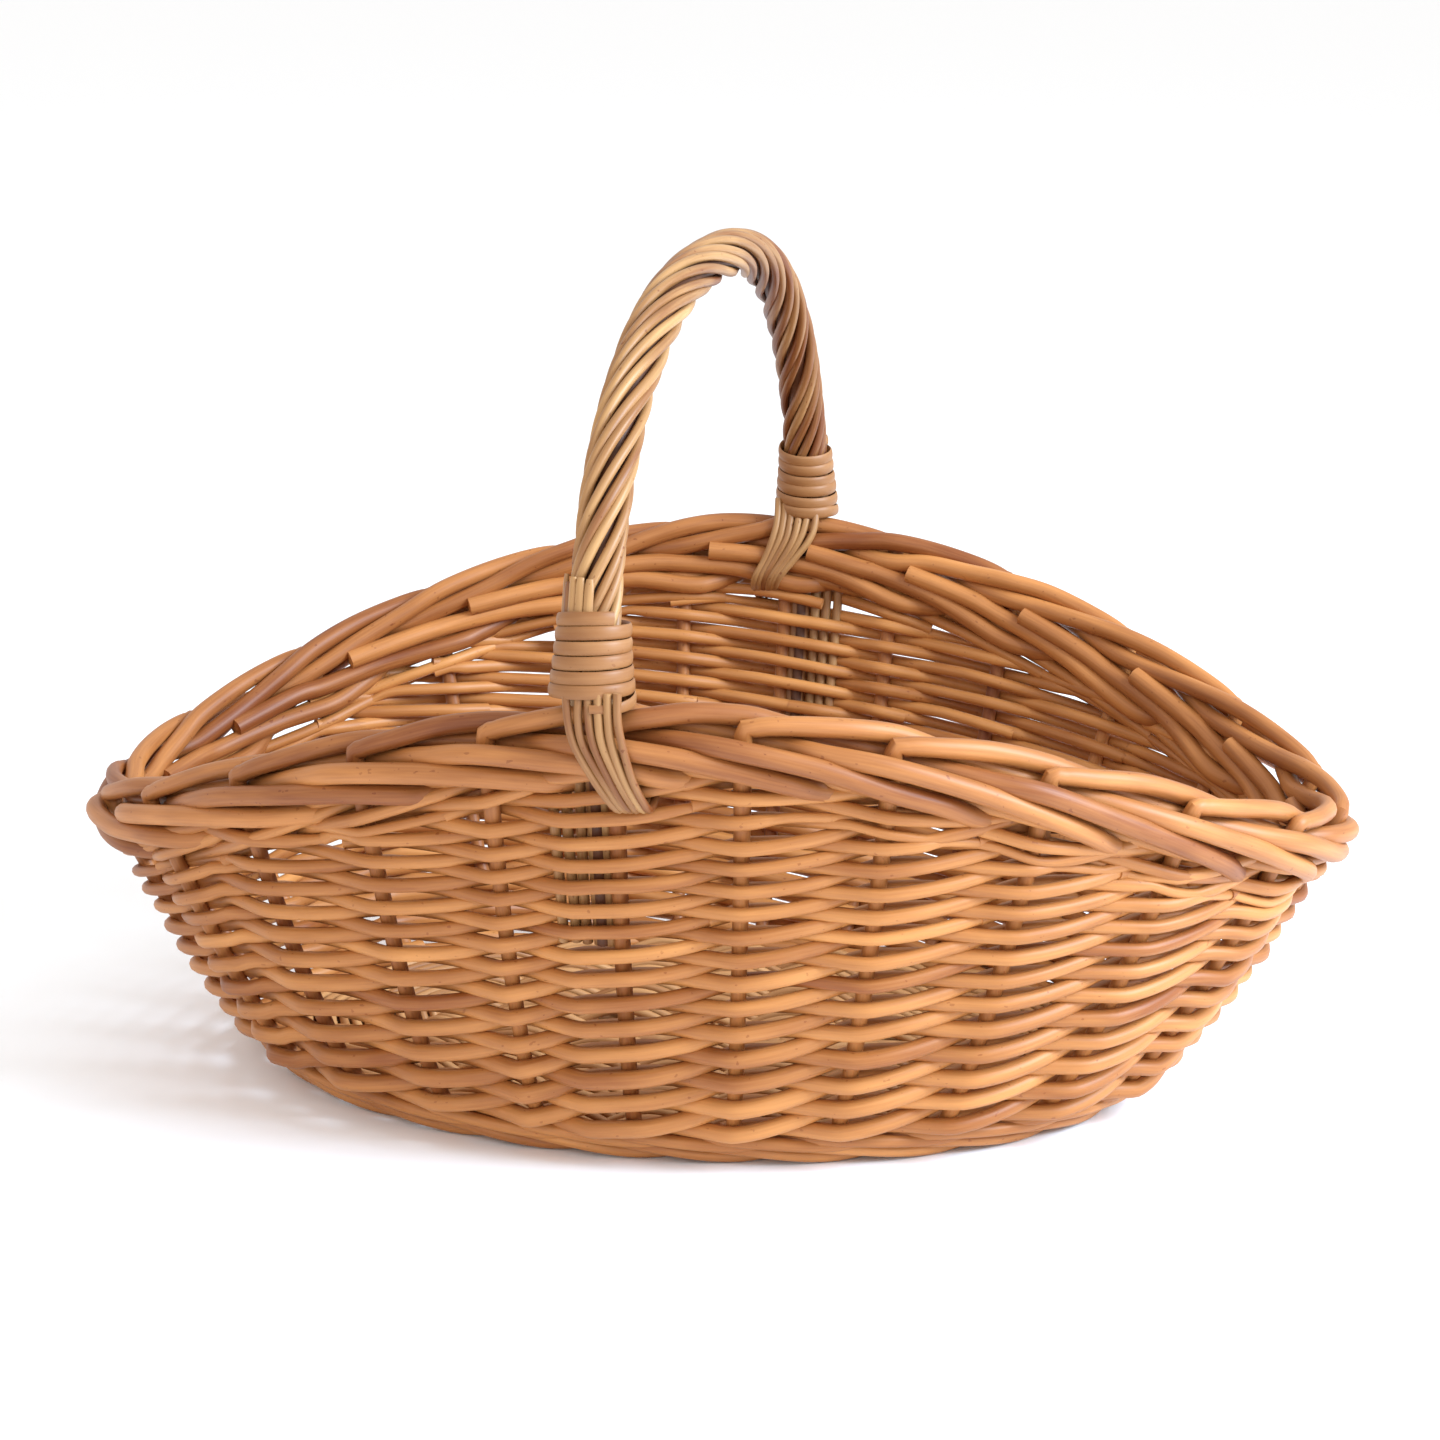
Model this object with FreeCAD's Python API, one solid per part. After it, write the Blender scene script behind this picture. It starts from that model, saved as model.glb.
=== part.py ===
"""Woven market basket with a roped bow handle, in millimetres.

The frame's origin is the middle of the base's underside: +X runs along the basket, +Y across
it and +Z up. Stakes are numbered round the basket, counter-clockwise seen from above.

The basket is peeled willow. Long and cross sticks carry the woven base. Stakes stand out of
its edge, the walls are woven round them, and at the top each stake is bent over and plaited
into the border. A bow is pushed down the two long walls and roped over with thin rods. Each
of its feet is bound with cane and tied round the border.
"""

import FreeCAD
import Part
import math
import os

Vector = FreeCAD.Vector

# The wall's middle surface: ovals that grow from the base to the rim.
BASE_HALF_LENGTH = 162.0
BASE_HALF_WIDTH = 104.0
BASE_SHIFT = -4.0  # how far the base lies along X from the middle of the rim
RIM_HALF_LENGTH = 240.0
RIM_HALF_WIDTH = 161.4
END_SWELL = 0.72  # powers of the height share: under 1, the wall swells low down
SIDE_SWELL = 0.6
RIM_OVAL_POWER = 1.875  # 2 is an ellipse; a little less draws the two ends to a point

# The rim's height falls from the handle to the two ends.
RIM_HEIGHT_SIDE = 177.0
RIM_HEIGHT_END = 107.0
RIM_SADDLE_POWER = 2.13
RIM_TWIST = 3.8  # how far a hand-made rim is out of true, corner to corner
RIM_TILT = 4.5  # and end to end

# Stakes.
STAKE_COUNT = 24
STAKE_TURN = -1.6  # degrees that the first stake stands off the long axis
STAKE_EVENING = 0.1  # evens out the gaps between stakes round the oval
STAKE_R = 3.4
STAKE_LEVEL = 7.0  # height at which the stakes lie in the base's edge
STAKE_IN_BASE = 14.0
STAKE_FOOT_INSET = 4.0  # how far inside the wall a stake turns upwards

# Base.
BASE_THICKNESS = 14.0
PLATE_HALF_LENGTH = BASE_HALF_LENGTH + 2.5
PLATE_HALF_WIDTH = BASE_HALF_WIDTH - 2.0
LONG_STICK_R = 2.5
LONG_STICK_PITCH = 5.2
LONG_STICK_COUNT = 3
CROSS_STICK_R = 3.4
CROSS_STICK_COUNT = 7
CROSS_STICK_PITCH = 34.0
STICK_END_GAP = 20.0
SLIT_CLEARANCE = 0.1

# Border. The route of a bent stake, from its own place on: bays along the rim, then millimetres
# out from the wall, then millimetres below the top of the border. It goes behind two stakes, in
# front of two and behind two, and its cut end stays inside.
BORDER_RISE = 7.0  # the border's top rods run this far above the wall's nominal rim
BORDER_ROUTE = (
    (0.000, 0.0, 6.2),
    (0.075, -0.3, 2.8),
    (0.30, -1.3, 1.2),
    (0.66, -4.4, 0.0),
    (1.00, -7.2, 0.6),
    (1.30, -7.9, 3.0),
    (1.65, -7.6, 6.0),
    (2.00, -7.0, 8.3),
    (2.26, -3.8, 9.1),
    (2.58, 3.0, 9.0),
    (2.95, 7.4, 9.4),
    (3.50, 8.0, 13.4),
    (4.00, 7.6, 17.8),
    (4.30, 5.6, 20.9),
    (4.52, 1.2, 23.6),
    (4.74, -4.4, 24.6),
    (4.96, -7.0, 24.0),
    (5.50, -7.4, 18.8),
    (6.00, -7.4, 16.4),
    (6.16, -7.6, 16.2),
)
BORDER_OUT = max(out for bays, out, drop in BORDER_ROUTE) + STAKE_R
BORDER_DEPTH = max(drop for bays, out, drop in BORDER_ROUTE) + STAKE_R

# Woven courses of the wall.
WEAVE_HALF_THICKNESS = 6.0
FOOT_BOTTOM = 1.0
FOOT_TOP = 15.0
COURSE_GAP = 0.6
UPPER_COURSE_DEPTH = 62.0  # below the top rods' centreline
WEAVE_TOP_DEPTH = BORDER_DEPTH + 0.5
WEAVE_TOP_DEPTH_AT_HANDLE = BORDER_DEPTH + 5.0
STAKE_SLOT = STAKE_R + 0.3
HANDLE_SLOT = 26.0  # beside a stake, for the bow's leg and the butts of the roping rods

# Handle.
HANDLE_TOP = 329.0
HANDLE_SHOULDER = 2.38  # power of the arch: 2 is an ellipse, more is squarer
HANDLE_SPRING = 172.0  # height at which the arch leaves the line of the walls
HANDLE_FOOT_Z = 188.0  # where the bow comes out of the border
HANDLE_HALF_SPAN = RIM_HALF_WIDTH + 1.6
HANDLE_FOOT_X = 11.5  # each foot stands this far on the clockwise side of the middle
BOW_R = 5.4
BOW_TIP_R = 2.6
ROPE_R = 9.3
BINDING_R = 12.0
BINDING_HEIGHT = 30.0
ANCHOR_ROD_R = 1.6
ANCHOR_ROD_PITCH = 3.6
ANCHOR_ROD_COUNT = 6
ANCHOR_ASIDE = 2.5  # how far round the rim the middle of the anchor rods is from the bow
ANCHOR_SWEEP = 18.0  # and how much further they sweep on their way under the border
LINER_ROD_R = 1.9
LINER_ROD_PITCH = 4.2
LINER_ROD_COUNT = 5
LINER_ASIDE = -4.4
LINER_BOTTOM = 95.0
LINER_OFFSET = 5.7

ARCH_TURNS = (7, 16, 30, 48, 68, 90, 112, 132, 150, 164, 173)
FRONT_STAKE = 18
BACK_STAKE = 6


# ---------------------------------------------------------------- shape of the wall


def stake_angle(number):
    """The oval's angle, in radians, at a stake; number may lie between two stakes."""
    even = math.radians(360.0 / STAKE_COUNT * number + STAKE_TURN)
    return even + STAKE_EVENING * math.sin(2 * even)


def signed_power(value, power):
    return math.copysign(abs(value) ** power, value)


def rim_height(angle):
    saddle = (RIM_HEIGHT_SIDE - RIM_HEIGHT_END) * abs(math.sin(angle)) ** RIM_SADDLE_POWER
    return RIM_HEIGHT_END + saddle - RIM_TWIST * math.sin(2 * angle) + RIM_TILT * math.cos(angle)


def wall_point(number, z, out=0.0):
    """A point of the wall at a stake number and a height, moved outwards by out."""
    angle = stake_angle(number)
    share = max(z, 0.0) / rim_height(angle)
    end_swell = share**END_SWELL
    half_length = BASE_HALF_LENGTH + (RIM_HALF_LENGTH - BASE_HALF_LENGTH) * end_swell
    half_width = BASE_HALF_WIDTH + (RIM_HALF_WIDTH - BASE_HALF_WIDTH) * share**SIDE_SWELL
    power = 2.0 / (2.0 + (RIM_OVAL_POWER - 2.0) * share)
    x = half_length * signed_power(math.cos(angle), power) + BASE_SHIFT * (1 - end_swell)
    y = half_width * signed_power(math.sin(angle), power)
    normal = Vector(math.cos(angle) / half_length, math.sin(angle) / half_width, 0).normalize()
    return Vector(x, y, z) + normal * out


def rim_point(number, out, drop):
    """A point of the border, out from the wall and drop below the top rods' centreline."""
    return wall_point(number, rim_height(stake_angle(number)) + BORDER_RISE - drop, out)


def stakes_per_mm(number, z):
    """How much of a stake interval one millimetre along the wall is."""
    return 1.0 / (wall_point(number + 0.5, z) - wall_point(number - 0.5, z)).Length


# ---------------------------------------------------------------- rods


def rounded_path(points, largest_radius):
    """Straight runs through the points, joined by tangent arcs as large as the runs allow."""
    edges = []
    start = points[0]
    for before, corner, after in zip(points, points[1:], points[2:]):
        back = (before - corner).normalize()
        ahead = (after - corner).normalize()
        half_turn = (math.pi - back.getAngle(ahead)) / 2
        shorter = min((before - corner).Length, (after - corner).Length)
        if half_turn < 0.002:
            continue
        radius = min(largest_radius, 0.47 * shorter / math.tan(half_turn))
        cut = radius * math.tan(half_turn)
        first = corner + back * cut
        last = corner + ahead * cut
        middle = corner + (back + ahead).normalize() * (radius / math.cos(half_turn) - radius)
        if (first - start).Length > 1e-4:
            edges.append(Part.LineSegment(start, first).toShape())
        edges.append(Part.Arc(first, middle, last).toShape())
        start = last
    edges.append(Part.LineSegment(start, points[-1]).toShape())
    return Part.Wire(edges)


def disc(path, radius):
    """A round face across the start of a path."""
    first = path.Edges[0]
    start = first.valueAt(first.FirstParameter)
    ahead = first.tangentAt(first.FirstParameter)
    return Part.Face(Part.Wire(Part.makeCircle(radius, start, ahead)))


def rod(points, radius, largest_radius=1000.0):
    """One willow rod of even thickness along a rounded path."""
    path = rounded_path(points, largest_radius)
    solid = path.makePipe(disc(path, radius))
    if not solid.isValid() or solid.Volume < 0.97 * math.pi * radius**2 * path.Length:
        raise RuntimeError(f"a rod from {points[0]} to {points[-1]} didn't sweep cleanly")
    return solid


def export(name, *solids):
    shape = solids[0] if len(solids) == 1 else Part.makeCompound(list(solids))
    shape.exportStep(os.path.join("parts", name + ".step"))


# ---------------------------------------------------------------- base


def long_sticks():
    half = PLATE_HALF_LENGTH - STICK_END_GAP
    middle = (LONG_STICK_COUNT - 1) / 2
    for number in range(LONG_STICK_COUNT):
        start = Vector(BASE_SHIFT - half, (number - middle) * LONG_STICK_PITCH, STAKE_LEVEL)
        yield Part.makeCylinder(LONG_STICK_R, 2 * half, start, Vector(1, 0, 0))


def cross_sticks():
    """The cross sticks are slit in the middle, and the long sticks go through the slits."""
    middle = (CROSS_STICK_COUNT - 1) / 2
    slit_width = 2 * (LONG_STICK_PITCH + LONG_STICK_R + SLIT_CLEARANCE)
    slit_height = 2 * (LONG_STICK_R + SLIT_CLEARANCE)
    for number in range(CROSS_STICK_COUNT):
        along = (number - middle) * CROSS_STICK_PITCH
        half = PLATE_HALF_WIDTH * math.sqrt(1 - (along / PLATE_HALF_LENGTH) ** 2) - STICK_END_GAP
        x = BASE_SHIFT + along
        stick = Part.makeCylinder(CROSS_STICK_R, 2 * half, Vector(x, -half, STAKE_LEVEL), Vector(0, 1, 0))
        corner = Vector(x - 2 * CROSS_STICK_R, -slit_width / 2, STAKE_LEVEL - slit_height / 2)
        yield stick.cut(Part.makeBox(4 * CROSS_STICK_R, slit_width, slit_height, corner))


def plate_point(angle, z, grow=1.0):
    """A point on the edge of the base, or of an oval grown from it."""
    x = BASE_SHIFT + PLATE_HALF_LENGTH * grow * math.cos(angle)
    return Vector(x, PLATE_HALF_WIDTH * grow * math.sin(angle), z)


def base_weave(embedded):
    """The woven oval of the base, with room for the sticks and the stakes' ends."""
    oval = Part.Ellipse(Vector(BASE_SHIFT, 0, 0), PLATE_HALF_LENGTH, PLATE_HALF_WIDTH)
    plate = Part.Face(Part.Wire(oval.toShape())).extrude(Vector(0, 0, BASE_THICKNESS))
    return plate.cut(Part.makeCompound(embedded))


# ---------------------------------------------------------------- wall


def stake(number):
    """From the base's edge out under the wall, up inside it, and over into the border."""
    angle = stake_angle(number)
    edge = plate_point(angle, STAKE_LEVEL)
    foot = wall_point(number, STAKE_LEVEL, -STAKE_FOOT_INSET)
    inwards = (edge - foot).normalize()
    top = rim_height(angle) - BORDER_DEPTH
    points = [edge + inwards * STAKE_IN_BASE, foot]
    points += [wall_point(number, FOOT_TOP + share * (top - FOOT_TOP)) for share in (0.1, 0.4, 0.7, 1.0)]
    for bays, out, drop in BORDER_ROUTE:
        points.append(rim_point(number + bays, out, drop))
    return rod(points, STAKE_R)


def woven_bay(number, low, high, before, after, inner_low=None):
    """One bay of weaving, from a stake to the next, as a closed solid with flat facets.

    low and high give the height of its two edges at a stake number; before and after are
    the widths, along the wall, left free for what stands at its two sides. inner_low moves
    the lower inside edge, where the bay meets the base.
    """
    columns = 3
    levels = 3
    first = number + before * stakes_per_mm(number, high(number))
    last = number + 1 - after * stakes_per_mm(number + 1, high(number + 1))
    across = [first + (last - first) * i / (columns - 1) for i in range(columns)]
    grid = {}
    for column, place in enumerate(across):
        for level in range(levels):
            z = low(place) + (high(place) - low(place)) * level / (levels - 1)
            for side in (-1, 1):
                grid[column, level, side] = wall_point(place, z, side * WEAVE_HALF_THICKNESS)
        if inner_low:
            grid[column, 0, -1] = inner_low(place)
    quads = []
    for column in range(columns - 1):
        for level in range(levels - 1):
            for side in (-1, 1):
                corners = ((0, 0), (1, 0), (1, 1), (0, 1))
                quads.append([grid[column + i, level + j, side] for i, j in corners])
        for level in (0, levels - 1):
            quads.append([grid[column + i, level, side] for i, side in ((0, -1), (1, -1), (1, 1), (0, 1))])
    for column in (0, columns - 1):
        for level in range(levels - 1):
            quads.append([grid[column, level + j, side] for j, side in ((0, -1), (1, -1), (1, 1), (0, 1))])
    faces = []
    for a, b, c, d in quads:
        faces.append(Part.Face(Part.makePolygon([a, b, c, a])))
        faces.append(Part.Face(Part.makePolygon([a, c, d, a])))
    shell = Part.Shell(faces)
    solid = Part.Solid(shell)
    if solid.Volume < 0:
        solid.reverse()
    return solid


def top_height(number):
    return rim_height(stake_angle(number)) + BORDER_RISE


def foot_wale():
    grow = 1.0 + 0.8 / PLATE_HALF_WIDTH  # leaves the wale just clear of the base

    def inner_low(place):
        return plate_point(stake_angle(place), FOOT_BOTTOM, grow)

    for number in range(STAKE_COUNT):
        yield woven_bay(number, lambda n: FOOT_BOTTOM, lambda n: FOOT_TOP, STAKE_SLOT, STAKE_SLOT, inner_low)


def lower_siding():
    for number in range(STAKE_COUNT):
        low = lambda n: FOOT_TOP + COURSE_GAP
        high = lambda n: top_height(n) - UPPER_COURSE_DEPTH - COURSE_GAP
        if (number + 1) % STAKE_COUNT in (FRONT_STAKE, BACK_STAKE):
            yield woven_bay(number, low, lambda n: LINER_BOTTOM - COURSE_GAP, STAKE_SLOT, STAKE_SLOT)
            yield woven_bay(number, lambda n: LINER_BOTTOM, high, STAKE_SLOT, HANDLE_SLOT)
        else:
            yield woven_bay(number, low, high, STAKE_SLOT, STAKE_SLOT)


def upper_siding():
    for number in range(STAKE_COUNT):
        before_handle = (number + 1) % STAKE_COUNT in (FRONT_STAKE, BACK_STAKE)
        at_handle = before_handle or number in (FRONT_STAKE, BACK_STAKE)
        after = HANDLE_SLOT if before_handle else STAKE_SLOT
        depth = WEAVE_TOP_DEPTH_AT_HANDLE if at_handle else WEAVE_TOP_DEPTH
        low = lambda n: top_height(n) - UPPER_COURSE_DEPTH
        high = lambda n, depth=depth: top_height(n) - depth
        yield woven_bay(number, low, high, STAKE_SLOT, after)


# ---------------------------------------------------------------- handle


def arch_point(turn):
    """A point of the handle's centreline; turn is 0 at the front foot and 180 at the back."""
    power = 2.0 / HANDLE_SHOULDER
    along = signed_power(math.cos(math.radians(turn)), power)
    rise = math.sin(math.radians(turn)) ** power
    crown = HANDLE_TOP - ROPE_R
    height = HANDLE_SPRING + (crown - HANDLE_SPRING) * rise
    return Vector(-HANDLE_FOOT_X * along, -HANDLE_HALF_SPAN * along, height)


def foot_point(beside):
    """Where the bow comes out of the border, beside the front or the back stake."""
    towards = 1.0 if beside == BACK_STAKE else -1.0
    return Vector(towards * HANDLE_FOOT_X, towards * HANDLE_HALF_SPAN, HANDLE_FOOT_Z)


def leg_place(beside):
    """The stake number, with a fraction, at which the handle's foot stands."""
    gap = abs(wall_point(beside, HANDLE_SPRING).x - foot_point(beside).x)
    return beside - gap * stakes_per_mm(beside, HANDLE_SPRING)


def arch_path():
    return [foot_point(FRONT_STAKE)] + [arch_point(turn) for turn in ARCH_TURNS] + [foot_point(BACK_STAKE)]


def bow_leg(beside):
    """The shaved tip of the bow, pushed down the wall beside a stake."""
    place = leg_place(beside)
    middle = (HANDLE_SPRING + LINER_BOTTOM) / 2
    points = [wall_point(place, z) for z in (HANDLE_SPRING - 8.0, middle, LINER_BOTTOM)]
    return rod([foot_point(beside)] + points, BOW_TIP_R)


def handle_bow():
    crown = rod(arch_path(), BOW_R)
    return crown.fuse([bow_leg(FRONT_STAKE), bow_leg(BACK_STAKE)]).removeSplitter()


def handle_roping():
    path = rounded_path(arch_path(), 1000.0)
    sleeve = path.makePipe(disc(path, ROPE_R))
    return sleeve.cut(path.makePipe(disc(path, BOW_R + 0.02)))


def binding(beside):
    """The cane bound round a foot of the handle, over the roping."""
    path = rounded_path(arch_path(), 1000.0)
    sleeve = path.makePipe(disc(path, BINDING_R)).cut(path.makePipe(disc(path, ROPE_R + 0.02)))
    reach = 3 * BINDING_R
    corner = foot_point(beside) - Vector(reach, reach, 0)
    return sleeve.common(Part.makeBox(2 * reach, 2 * reach, BINDING_HEIGHT, corner)).Solids[0]


def anchor_rods(beside):
    """Thin rods that come out of a binding, go over and under the border, and back in."""
    place = leg_place(beside)
    step = stakes_per_mm(beside, HANDLE_SPRING)
    outside = BORDER_OUT + ANCHOR_ROD_R + 0.4
    under = BORDER_DEPTH + ANCHOR_ROD_R + 0.6
    # Shares of the sweep and of the way outside, then millimetres below the top of the border.
    half_route = [
        (0.00, 0.58, -8.0),
        (0.03, 0.96, -1.0),
        (0.28, 1.02, 8.0),
        (0.80, 1.02, under - 4.5),
        (1.00, 0.50, under),
    ]
    route = half_route + [(sweep, -out, drop) for sweep, out, drop in reversed(half_route)]
    for number in range(ANCHOR_ROD_COUNT):
        aside = ANCHOR_ASIDE + (number - (ANCHOR_ROD_COUNT - 1) / 2) * ANCHOR_ROD_PITCH
        points = []
        for sweep, out, drop in route:
            at = place + (aside + sweep * ANCHOR_SWEEP) * step
            points.append(rim_point(at, out * outside, drop))
        yield rod(points, ANCHOR_ROD_R)


def liner_rods(beside):
    """Butts of the roping rods, pushed down the wall outside the bow."""
    place = leg_place(beside)
    step = stakes_per_mm(beside, HANDLE_SPRING)
    top = top_height(beside) - WEAVE_TOP_DEPTH_AT_HANDLE - 4.0
    heights = (top, (top + LINER_BOTTOM) / 2, LINER_BOTTOM)
    for number in range(LINER_ROD_COUNT):
        aside = LINER_ASIDE + (number - (LINER_ROD_COUNT - 1) / 2) * LINER_ROD_PITCH
        yield rod([wall_point(place + aside * step, z, LINER_OFFSET) for z in heights], LINER_ROD_R)


# ---------------------------------------------------------------- the whole basket


def main():
    os.makedirs("parts", exist_ok=True)
    longs = list(long_sticks())
    crosses = list(cross_sticks())
    stakes = [stake(number) for number in range(STAKE_COUNT)]
    for number, stick in enumerate(longs, 1):
        export(f"base_long_stick_{number}", stick)
    for number, stick in enumerate(crosses, 1):
        export(f"base_cross_stick_{number}", stick)
    export("base_weave", base_weave(longs + crosses + stakes))

    for number, rod_solid in enumerate(stakes, 1):
        export(f"stake_{number:02d}", rod_solid)

    export("foot_wale", *foot_wale())
    export("lower_siding", *lower_siding())
    export("upper_siding", *upper_siding())

    export("handle_bow", handle_bow())
    export("handle_roping", handle_roping())
    for side, beside in (("front", FRONT_STAKE), ("back", BACK_STAKE)):
        export(f"cane_binding_{side}", binding(beside))
        export(f"anchor_rods_{side}", *anchor_rods(beside))
        export(f"liner_rods_{side}", *liner_rods(beside))


main()
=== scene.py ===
"""The woven look of the market basket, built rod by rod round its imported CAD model.

Lengths are in millimetres until mesh_piece() turns them into metres. A place round the basket
is a stake number, with a fraction between two stakes: stake 0, the CAD model's stake_01, is at
the right-hand end, and the numbers run counter-clockwise seen from above.
"""

import math

import bpy
import numpy as np
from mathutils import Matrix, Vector


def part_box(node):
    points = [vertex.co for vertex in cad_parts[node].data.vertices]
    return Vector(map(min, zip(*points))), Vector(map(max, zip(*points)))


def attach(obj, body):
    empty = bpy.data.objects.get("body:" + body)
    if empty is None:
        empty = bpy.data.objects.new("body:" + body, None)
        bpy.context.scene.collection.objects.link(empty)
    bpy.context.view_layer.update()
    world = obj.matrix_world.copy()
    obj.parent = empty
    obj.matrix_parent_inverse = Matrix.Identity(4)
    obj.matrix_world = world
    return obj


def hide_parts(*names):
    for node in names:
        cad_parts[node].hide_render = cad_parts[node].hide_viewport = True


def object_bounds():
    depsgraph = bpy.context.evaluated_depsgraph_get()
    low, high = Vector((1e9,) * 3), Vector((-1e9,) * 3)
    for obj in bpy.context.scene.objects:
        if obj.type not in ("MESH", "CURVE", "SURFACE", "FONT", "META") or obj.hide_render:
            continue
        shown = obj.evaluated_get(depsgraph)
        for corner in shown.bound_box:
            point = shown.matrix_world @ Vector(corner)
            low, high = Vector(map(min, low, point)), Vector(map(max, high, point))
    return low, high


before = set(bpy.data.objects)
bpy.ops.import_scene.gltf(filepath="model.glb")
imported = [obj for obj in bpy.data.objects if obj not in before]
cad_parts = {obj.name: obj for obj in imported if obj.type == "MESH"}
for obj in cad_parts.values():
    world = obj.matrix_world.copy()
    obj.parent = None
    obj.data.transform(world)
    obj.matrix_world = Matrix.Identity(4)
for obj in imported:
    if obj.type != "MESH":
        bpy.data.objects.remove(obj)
cad_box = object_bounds()

MM = 0.001
CHANCE_SEED = 11
TONE_SPREAD = 0.14  # how unlike each other the rods' tones are
chance = np.random.default_rng(CHANCE_SEED)


def node_box(node):
    """The lowest and highest corner of a CAD node, in millimetres."""
    low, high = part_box(node)
    return np.array(low) / MM, np.array(high) / MM


# ---------------------------------------------------------------- sizes

# The base plate, and the ovals that the wall grows through from the base to the rim. The wall
# and its rim have the CAD model's own shape.
plate_low, plate_high = node_box("base_weave")
PLATE_HALF_LENGTH, PLATE_HALF_WIDTH, BASE_THICKNESS = (plate_high - plate_low) / (2, 2, 1)
BASE_SHIFT = (plate_high[0] + plate_low[0]) / 2
BASE_HALF_LENGTH = PLATE_HALF_LENGTH - 2.5  # the wall at its foot
BASE_HALF_WIDTH = PLATE_HALF_WIDTH + 2.0
RIM_HALF_LENGTH = 240.0
RIM_HALF_WIDTH = 161.4
END_SWELL = 0.72  # powers of the height share: under 1, the wall swells low down
SIDE_SWELL = 0.6
RIM_OVAL_POWER = 1.875  # 2 is an ellipse, and a little less makes the ends more pointed

# The rim's height falls from the handle to the two ends.
RIM_HEIGHT_SIDE = 177.0
RIM_HEIGHT_END = 107.0
RIM_SADDLE_POWER = 2.13
RIM_TWIST = 3.8  # how far the rim is out of true, up at two opposite corners, down at the others
RIM_TILT = 4.5  # and up at the right-hand end, down at the left-hand one

# Stakes.
STAKE_COUNT = 24
STAKE_TURN = -1.6  # degrees that the first stake stands off the long axis
STAKE_EVENING = 0.1  # evens out the gaps between stakes round the oval
STAKE_R = 3.4  # what the rods beside a stake leave room for
STAKE_LEVEL = BASE_THICKNESS / 2  # height at which the stakes lie in the base's edge
STAKE_IN_BASE = 14.0  # length of a stake between the base's rods
STAKE_FOOT_INSET = 4.0  # how far inside the wall a stake turns upwards
FOOT_TOP = 15.0  # height from which a stake follows the wall
FOOT_END_R = 2.9  # a stake's radius from the base up into the wall
RIM_BEND_R = 3.7  # about where it bends over into the border
BORDER_END_R = 3.95  # and at its other end

# Border. The route of a bent stake, from its own place on: bays along the rim, then millimetres
# out from the wall, then millimetres below the top of the border.
BORDER_RISE = 7.0  # the border's top rods run this far above the wall's nominal rim
BORDER_ROUTE = (
    (0.000, 0.0, 6.2),
    (0.075, -0.3, 2.8),
    (0.30, -1.3, 1.2),
    (0.66, -4.4, 0.0),
    (1.00, -7.2, 0.6),
    (1.30, -7.9, 3.0),
    (1.65, -7.6, 6.0),
    (2.00, -7.0, 8.3),
    (2.26, -3.8, 9.1),
    (2.58, 3.0, 9.0),
    (2.95, 7.4, 9.4),
    (3.50, 8.0, 13.4),
    (4.00, 7.6, 17.8),
    (4.30, 5.6, 20.9),
    (4.52, 1.2, 23.6),
    (4.74, -4.4, 24.6),
    (4.96, -7.0, 24.0),
    (5.50, -7.4, 18.6),
    (6.00, -7.8, 15.6),
    (6.30, -9.0, 13.0),
    (6.78, -9.8, 10.8),
)
BORDER_WANDER = (0.02, 0.25, 0.3)  # chance moves off that route, in the same three measures
BORDER_OUT = max(out for bays, out, drop in BORDER_ROUTE) + STAKE_R
BORDER_DEPTH = max(drop for bays, out, drop in BORDER_ROUTE) + STAKE_R

# Siding. Rows are counted up the wall from the foot: rows that follow the base, then packing
# rows wherever the wall is high enough for them, then rows that follow the rim.
BASE_ROWS = 18
RIM_ROWS = 3
FOOT_ROW = 6.4  # height of the lowest row
HIGH_ROW = 4.6  # height of every row from BASE_ROWS up
THICKEST_WEAVER = 6.0
THINNEST_WEAVER = 3.3
SIDING_FULLNESS = (1.05, 1.2)  # the least and most thickness, as a share of the row's height
RIM_FULLNESS = (1.04, 1.14)
PACKING_FULLNESS = (1.1, 1.22)
SIDING_BOTTOM = 13.0
SIDING_TOP_DEPTH = BORDER_DEPTH - 10.0  # the top rows go up among the border's rods
WEAVER_WANDER = 0.3  # how unevenly the weavers lie
PACKING_GAP = 0.4  # rows kept free between the packing and the rows that follow the rim
PACKING_PUSH = 1.5  # rows, at most, that a packing rod is pushed down to keep out of them
PACKING_EARLY = 0.2  # how readily a packing rod starts a pair of stakes early
PACKING_LATE = 0.32  # and ends a pair of stakes late
TIP_AT_STAKE = 0.125  # bays between a weaver's tip and the stake that it ends at
PACKING_START = 0.2  # bays by which a packing rod starts before a stake
RIM_START = 0.375  # and a rim row's rod
RIM_TAIL = 0.25  # bays by which a rim row's rod ends past a stake
STROKE_DIP = 1.3  # how far a stroke in front of a stake is beaten down, and one behind it rides up
DIP_TO_RIGHT = 0.65  # share by which that is more at the right-hand end, and less at the left
STROKE_POINT = 0.985  # how sharply a weaver bends at a stake, below 1
STROKE_HUG = 0.9  # how far the weavers are drawn in against the stakes
STROKE_LAG = 1.6  # above 1, a weaver crosses over late between two stakes
STROKE_AT_LEG = 0.62  # share of a bay in which it crosses over where a handle's leg stands
STEPS_PER_BAY = 8
WALE_R = 2.6

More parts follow.
